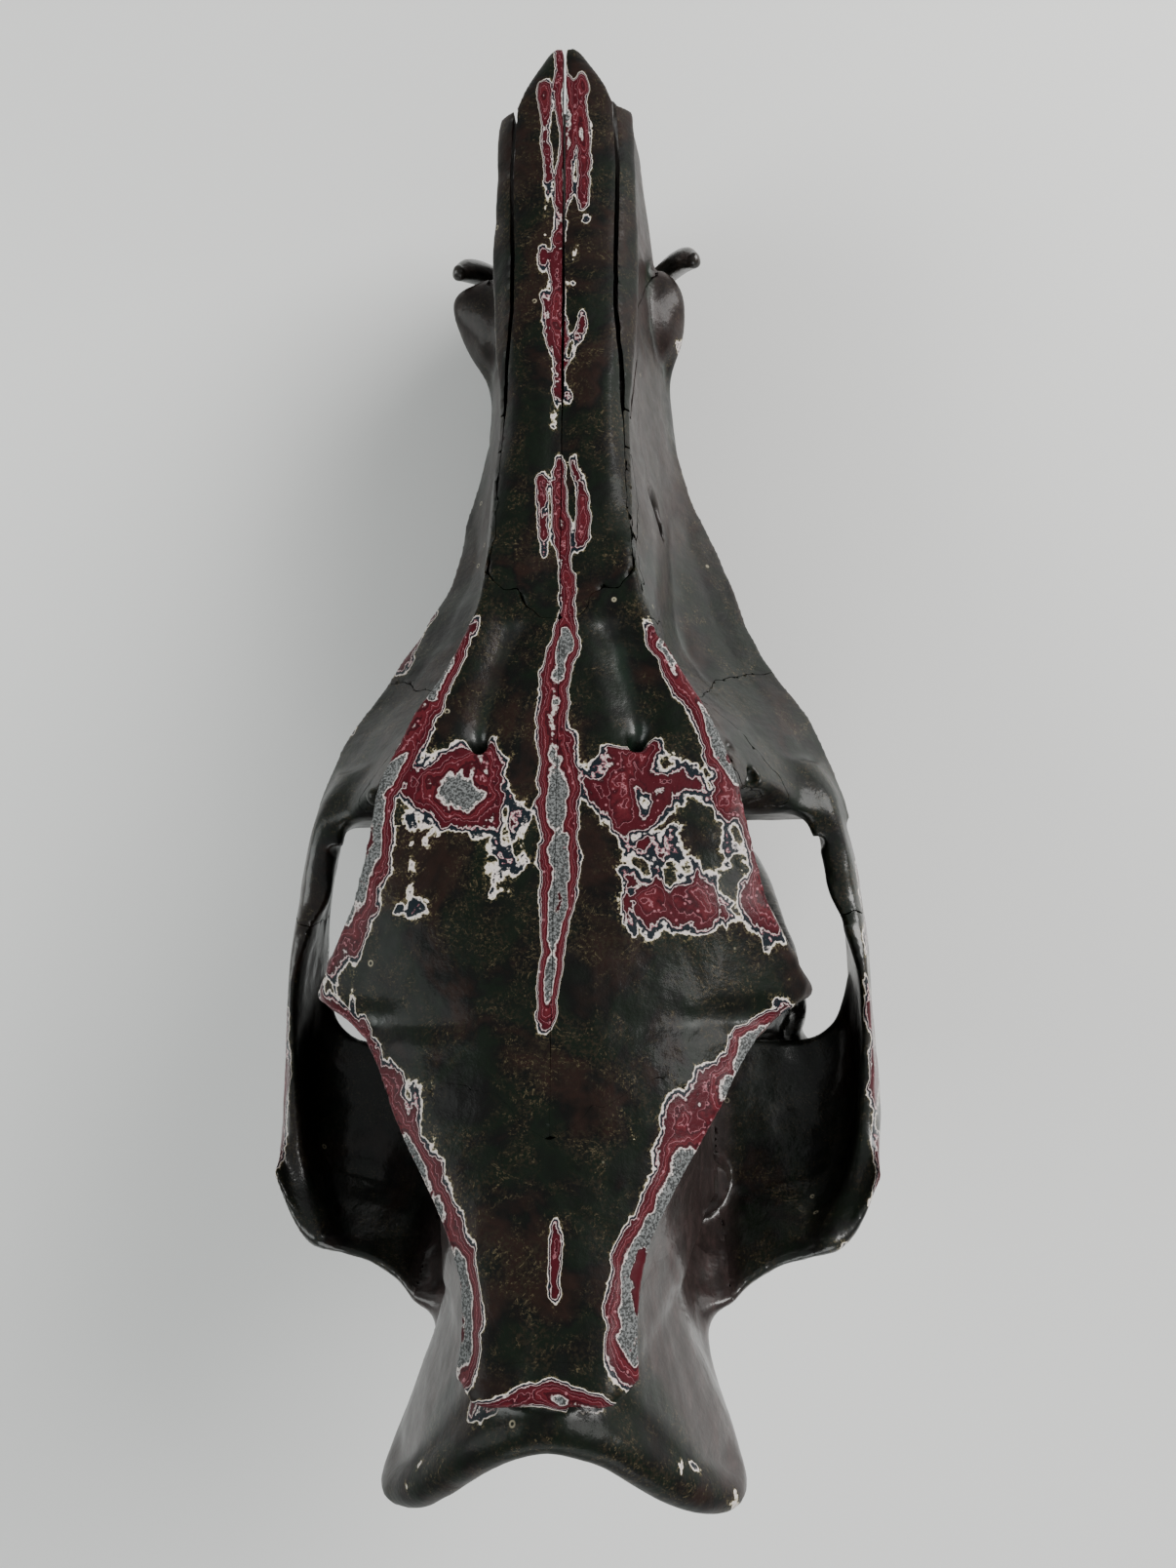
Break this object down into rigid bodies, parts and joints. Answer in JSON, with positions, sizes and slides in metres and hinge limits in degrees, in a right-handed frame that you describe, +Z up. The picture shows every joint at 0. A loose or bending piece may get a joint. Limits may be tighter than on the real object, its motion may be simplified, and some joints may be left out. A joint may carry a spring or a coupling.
{
  "type": "painted boar skull",
  "caption": "Life-size boar skull with its lower jaw, lying on the jaw's edge, coated in dark layered lacquer rubbed back to red and cream bands.",
  "frame": {"origin": "centre of the bounding box, on the table under the skull", "axes": "+Y towards the snout, +X towards the animal's right, +Z up from the table"},
  "size_m": [0.162, 0.3802, 0.2272],
  "materials": {
    "layered_lacquer": "glossy black, green, crimson and cream lacquer layers rubbed through",
    "dark_lacquer": "glossy near-black lacquer with fine speckle",
    "tusk_lacquer": "satin dark brown lacquer"
  },
  "bodies": {
    "root": {"nasal_right": "layered_lacquer", "nasal_left": "layered_lacquer", "premaxilla_right": "layered_lacquer", "premaxilla_left": "layered_lacquer", "maxilla_right": "layered_lacquer", "maxilla_left": "layered_lacquer", "frontal_right": "layered_lacquer", "frontal_left": "layered_lacquer", "lacrimal_right": "layered_lacquer", "lacrimal_left": "layered_lacquer", "zygomatic_right": "layered_lacquer", "zygomatic_left": "layered_lacquer", "temporal_right": "layered_lacquer", "temporal_left": "layered_lacquer", "parietal": "layered_lacquer", "occipital": "layered_lacquer", "skull_base": "dark_lacquer", "mandible": "dark_lacquer", "upper_tusk_right": "tusk_lacquer", "upper_tusk_left": "tusk_lacquer", "lower_tusk_right": "tusk_lacquer", "lower_tusk_left": "tusk_lacquer"}
  },
  "joints": []
}
